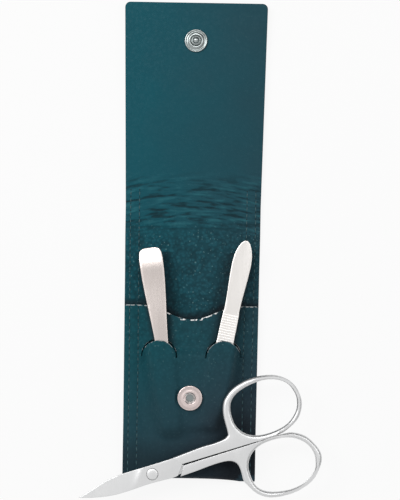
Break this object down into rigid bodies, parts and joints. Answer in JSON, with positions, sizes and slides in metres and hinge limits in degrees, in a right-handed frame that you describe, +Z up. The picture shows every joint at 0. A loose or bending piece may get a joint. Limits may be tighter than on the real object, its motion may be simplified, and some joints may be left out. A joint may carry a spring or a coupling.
{
  "type": "manicure set case",
  "caption": "Open snap-closed leather manicure case with slotted pocket, tweezers, cuticle pusher and nail scissors.",
  "frame": {"origin": "middle of the flat back panel of the case, on its underside", "axes": "+Y from the bottom of the pocket to the free end of the open flap, +Z up from the surface that the case lies on, +X to the right as seen from above"},
  "size_m": [0.09, 0.1856, 0.0122],
  "materials": {
    "leather": "teal grained leather, semi-matt",
    "lining": "thin teal leather lining, semi-matt",
    "thread": "grey-teal sewing thread",
    "steel": "satin stainless steel",
    "nickel": "nickel plate"
  },
  "bodies": {
    "case": {"case_leather": "leather", "back_lining": "lining", "pocket_divider": "lining", "pocket_stitches_left_outer": "thread", "pocket_stitches_left_inner": "thread", "pocket_stitches_right_outer": "thread", "pocket_stitches_right_inner": "thread", "back_stitches_left_outer": "thread", "back_stitches_left_inner": "thread", "back_stitches_right_outer": "thread", "back_stitches_right_inner": "thread", "front_snap_socket": "nickel", "front_snap_spring": "steel", "front_snap_eyelet": "nickel"},
    "fold": {"fold_leather": "leather", "fold_lining": "lining"},
    "flap": {"flap_leather": "leather", "flap_lining": "lining", "flap_snap_stud": "nickel", "flap_snap_cap": "nickel"},
    "tweezers": {"tweezers_back_arm": "steel"},
    "tweezers_arm": {"tweezers_front_arm": "steel"},
    "pusher": {"cuticle_pusher": "steel"},
    "scissors": {"scissors_front_half": "steel", "scissors_pivot_screw": "steel"},
    "scissors_back": {"scissors_back_half": "steel"}
  },
  "joints": [
    {"name": "flap_fold", "type": "hinge", "parent": "case", "child": "fold", "pos_m": [0, 0.0459, 0.0016], "axis": [1, 0, 0], "range_deg": [0, 77.2]},
    {"name": "flap_turn", "type": "hinge", "parent": "fold", "child": "flap", "pos_m": [0, 0.05736, 0.0017], "axis": [1, 0, 0], "range_deg": [0, 101.8]},
    {"name": "tweezers_slide", "type": "slide", "parent": "case", "child": "tweezers", "axis": [0.1461, -0.9893, 0], "range_m": [-0.06, 0]},
    {"name": "tweezers_squeeze", "type": "hinge", "parent": "tweezers", "child": "tweezers_arm", "pos_m": [-0.01534, 0.03715, 0.00838], "axis": [0.9893, 0.1461, 0], "range_deg": [0, 0.43], "stiffness_Nm_per_rad": 0.5},
    {"name": "pusher_slide", "type": "slide", "parent": "case", "child": "pusher", "axis": [-0.1908, -0.9816, 0], "range_m": [-0.06, 0]},
    {"name": "scissors_lift", "type": "slide", "parent": "case", "child": "scissors", "axis": [0, 0, 1], "range_m": [0, 0.06]},
    {"name": "scissors_open", "type": "hinge", "parent": "scissors", "child": "scissors_back", "pos_m": [-0.0134, -0.0423, 0.011], "axis": [0, 0, -1], "range_deg": [0, 55]}
  ]
}
